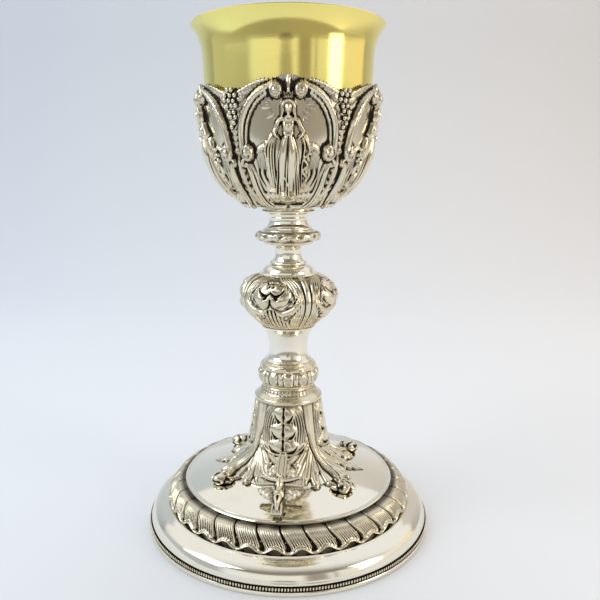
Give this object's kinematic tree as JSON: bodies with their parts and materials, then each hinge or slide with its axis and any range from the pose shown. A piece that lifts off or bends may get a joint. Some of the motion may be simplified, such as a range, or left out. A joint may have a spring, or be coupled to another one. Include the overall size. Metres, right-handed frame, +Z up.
{
  "type": "communion chalice",
  "caption": "Footed drinking cup with a flared lip in a relief outer shell, on a knopped stem and domed round foot clamped by a threaded rod.",
  "frame": {"origin": "centre of the foot's underside, on the table", "axes": "+Z up along the stem; -Y towards the front, where the crucifix stands (turned 6 degrees towards -X)"},
  "size_m": [0.15, 0.15, 0.25],
  "materials": {
    "plain_silver": "polished",
    "relief_silver": "polished high spots over oxidised recesses",
    "gilt": "bright gilding with fine turning scratches",
    "brass_fitting": "satin",
    "steel_rod": "satin"
  },
  "bodies": {
    "stand": {"base_ring": "plain_silver", "foot_rim": "plain_silver", "foot_plate": "plain_silver", "foot_trumpet": "plain_silver", "drip_collar": "plain_silver", "baluster": "plain_silver", "knop_cap": "plain_silver", "lower_neck": "plain_silver", "upper_neck": "plain_silver", "calyx_ring": "plain_silver", "cross": "plain_silver", "beaded_wire": "relief_silver", "wave_band": "relief_silver", "leaf_sleeve": "relief_silver", "gadroon_ring": "relief_silver", "knop_lower_half": "relief_silver", "knop_upper_half": "relief_silver", "wreath_collar": "relief_silver", "false_cup": "relief_silver", "cross_foliage": "relief_silver", "corpus": "relief_silver", "clamp_bridge": "brass_fitting", "knop_liner": "brass_fitting", "cross_nut": "brass_fitting", "tie_rod": "steel_rod"},
    "cup": {"cup": "gilt", "cup_boss": "gilt"},
    "boss_washer": {"boss_washer": "brass_fitting"},
    "foot_washer": {"foot_washer": "brass_fitting"},
    "foot_nut": {"foot_nut": "brass_fitting"}
  },
  "joints": [
    {"name": "boss_washer_rise", "type": "slide", "parent": "stand", "child": "boss_washer", "axis": [0, 0, 1], "range_m": [0, 0.00802]},
    {"name": "cup_unscrew", "type": "hinge", "parent": "boss_washer", "child": "cup", "pos_m": [0, 0, 0.167], "axis": [0, 0, 1], "range_deg": [0, 2880]},
    {"name": "foot_washer_drop", "type": "slide", "parent": "stand", "child": "foot_washer", "axis": [0, 0, -1], "range_m": [0, 0.0135]},
    {"name": "foot_nut_unscrew", "type": "hinge", "parent": "foot_washer", "child": "foot_nut", "pos_m": [0, 0, 0.0577], "axis": [0, 0, -1], "range_deg": [0, 4862]}
  ],
  "couplings": [
    {"joint": "boss_washer_rise", "follows": "cup_unscrew", "m_per_rad": 0.00015915},
    {"joint": "foot_nut_unscrew", "follows": "foot_washer_drop", "rad_per_m": 6283.2}
  ]
}
